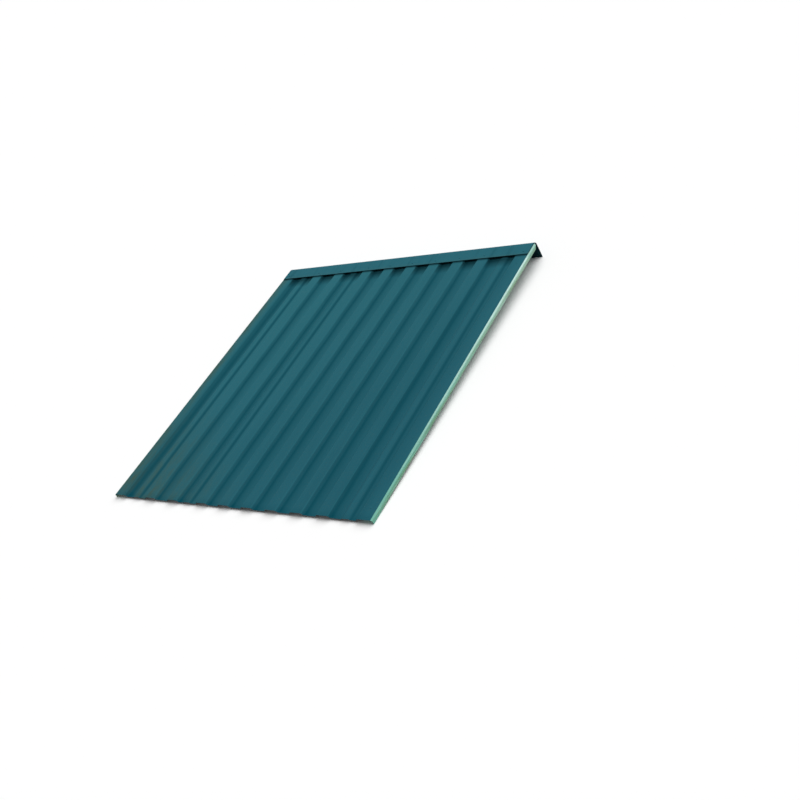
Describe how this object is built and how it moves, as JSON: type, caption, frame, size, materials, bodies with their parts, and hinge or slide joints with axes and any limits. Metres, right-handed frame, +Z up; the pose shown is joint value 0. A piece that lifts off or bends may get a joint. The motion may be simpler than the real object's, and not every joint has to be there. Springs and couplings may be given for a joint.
{
  "type": "metal roofing panel",
  "caption": "Trapezoidal ribbed steel roofing panel in dark teal paint, with a right-angled ridge cap along its top edge and a slim pale verge trim under each side edge.",
  "frame": {"origin": "centre of the footprint, on the ground that the panel lies on", "axes": "+X along the ridge to the right as seen from the eave, +Y up the slope from the eave to the ridge, +Z up"},
  "size_m": [1.2186, 1.2608, 0.0703],
  "materials": {
    "teal_sheet_paint": "semi-matt polyester coil coating, dusty towards the eave",
    "teal_cap_paint": "semi-matt polyester coil coating, slightly bluer than the sheet",
    "mint_trim_paint": "satin coil coating in pale mint"
  },
  "bodies": {
    "root": {"profiled_sheet": "teal_sheet_paint", "ridge_cap": "teal_cap_paint", "verge_trim_right": "mint_trim_paint", "verge_trim_left": "mint_trim_paint"}
  },
  "joints": []
}
